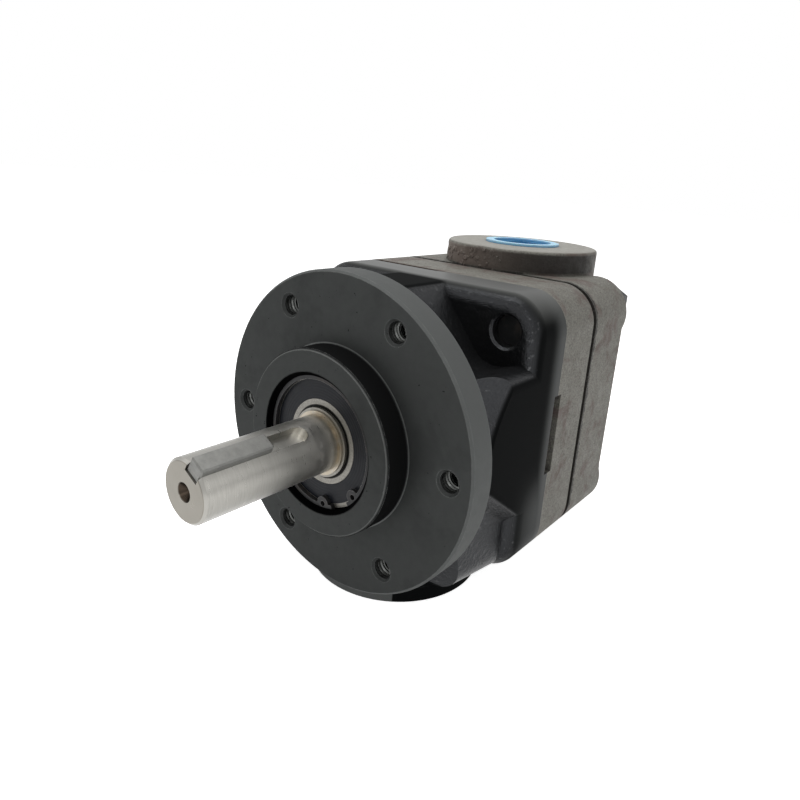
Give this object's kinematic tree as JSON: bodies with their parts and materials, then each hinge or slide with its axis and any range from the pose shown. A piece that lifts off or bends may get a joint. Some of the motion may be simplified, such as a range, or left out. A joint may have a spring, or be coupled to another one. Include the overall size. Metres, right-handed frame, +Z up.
{
  "type": "hydraulic vane pump",
  "caption": "Flange-mounted hydraulic vane pump with a keyed shaft, a bolted body, ring and cover, and two threaded ports.",
  "frame": {"origin": "centre of the mounting flange's front face, on the shaft axis", "axes": "-Y along the shaft out of the flange, +Y to the rear cover, +Z up through the outlet port"},
  "size_m": [0.128, 0.231, 0.1399],
  "materials": {
    "black_casting": "glossy black paint on a sand casting, machined faces darkened",
    "raw_iron": "bare grey iron with brown stains",
    "ground_steel": "ground steel with light stains",
    "bright_steel": "ground bearing steel",
    "ball_steel": "polished steel",
    "dark_steel": "oil-blackened steel",
    "cage_brass": "stamped brass",
    "black_rubber": "matt nitrile rubber",
    "blue_plastic": "soft blue transport plug"
  },
  "bodies": {
    "housing": {"pump_body": "black_casting", "cam_ring": "raw_iron", "rear_cover": "raw_iron", "cover_bolts": "dark_steel", "dowel_pins": "bright_steel", "bore_snap_ring": "dark_steel", "bearing_outer_ring": "bright_steel", "bearing_front_shield": "black_rubber", "bearing_rear_shield": "black_rubber", "seal_case": "bright_steel", "seal_lip": "black_rubber", "seal_spring": "bright_steel", "needle_cup": "bright_steel", "pressure_plate": "cage_brass", "plate_spring": "dark_steel", "body_seal_ring": "black_rubber", "cover_seal_ring": "black_rubber", "plate_seal_ring": "black_rubber"},
    "shaft": {"drive_shaft": "ground_steel", "shaft_key": "ground_steel", "shaft_snap_ring": "bright_steel", "bearing_inner_ring": "bright_steel", "rotor": "bright_steel"},
    "ball_set": {"bearing_balls": "ball_steel", "bearing_cage": "cage_brass"},
    "needle_set": {"needle_rollers": "ball_steel", "needle_cage": "bright_steel"},
    "plug": {"port_plug": "blue_plastic"},
    "vane_01_body": {"vane_01": "bright_steel"},
    "vane_02_body": {"vane_02": "bright_steel"},
    "vane_03_body": {"vane_03": "bright_steel"},
    "vane_04_body": {"vane_04": "bright_steel"},
    "vane_05_body": {"vane_05": "bright_steel"},
    "vane_06_body": {"vane_06": "bright_steel"},
    "vane_07_body": {"vane_07": "bright_steel"},
    "vane_08_body": {"vane_08": "bright_steel"},
    "vane_09_body": {"vane_09": "bright_steel"},
    "vane_10_body": {"vane_10": "bright_steel"},
    "vane_11_body": {"vane_11": "bright_steel"},
    "vane_12_body": {"vane_12": "bright_steel"}
  },
  "joints": [
    {"name": "shaft_spin", "type": "hinge", "parent": "housing", "child": "shaft", "pos_m": [0, 0, 0], "axis": [0, -1, 0], "continuous": true},
    {"name": "ball_set_spin", "type": "hinge", "parent": "housing", "child": "ball_set", "pos_m": [0, 0, 0], "axis": [0, -1, 0], "continuous": true},
    {"name": "needle_set_spin", "type": "hinge", "parent": "housing", "child": "needle_set", "pos_m": [0, 0.033, 0], "axis": [0, -1, 0], "continuous": true},
    {"name": "port_plug_pull", "type": "slide", "parent": "housing", "child": "plug", "axis": [0, 0, 1], "range_m": [0, 0.035]},
    {"name": "vane_01_slide", "type": "slide", "parent": "shaft", "child": "vane_01_body", "axis": [-0.5, 0, -0.866], "range_m": [0, 0.0025]},
    {"name": "vane_02_slide", "type": "slide", "parent": "shaft", "child": "vane_02_body", "axis": [-0.866, 0, -0.5], "range_m": [0, 0.0025]},
    {"name": "vane_03_slide", "type": "slide", "parent": "shaft", "child": "vane_03_body", "axis": [-1, 0, 0], "range_m": [0, 0.0025]},
    {"name": "vane_04_slide", "type": "slide", "parent": "shaft", "child": "vane_04_body", "axis": [-0.866, 0, 0.5], "range_m": [0, 0.0025]},
    {"name": "vane_05_slide", "type": "slide", "parent": "shaft", "child": "vane_05_body", "axis": [-0.5, 0, 0.866], "range_m": [0, 0.0025]},
    {"name": "vane_06_slide", "type": "slide", "parent": "shaft", "child": "vane_06_body", "axis": [0, 0, 1], "range_m": [0, 0.0025]},
    {"name": "vane_07_slide", "type": "slide", "parent": "shaft", "child": "vane_07_body", "axis": [0.5, 0, 0.866], "range_m": [0, 0.0025]},
    {"name": "vane_08_slide", "type": "slide", "parent": "shaft", "child": "vane_08_body", "axis": [0.866, 0, 0.5], "range_m": [0, 0.0025]},
    {"name": "vane_09_slide", "type": "slide", "parent": "shaft", "child": "vane_09_body", "axis": [1, 0, 0], "range_m": [0, 0.0025]},
    {"name": "vane_10_slide", "type": "slide", "parent": "shaft", "child": "vane_10_body", "axis": [0.866, 0, -0.5], "range_m": [0, 0.0025]},
    {"name": "vane_11_slide", "type": "slide", "parent": "shaft", "child": "vane_11_body", "axis": [0.5, 0, -0.866], "range_m": [0, 0.0025]},
    {"name": "vane_12_slide", "type": "slide", "parent": "shaft", "child": "vane_12_body", "axis": [0, 0, -1], "range_m": [0, 0.0025]}
  ],
  "couplings": [
    {"joint": "ball_set_spin", "follows": "shaft_spin", "ratio": 0.39688},
    {"joint": "needle_set_spin", "follows": "shaft_spin", "ratio": 0.45458}
  ]
}
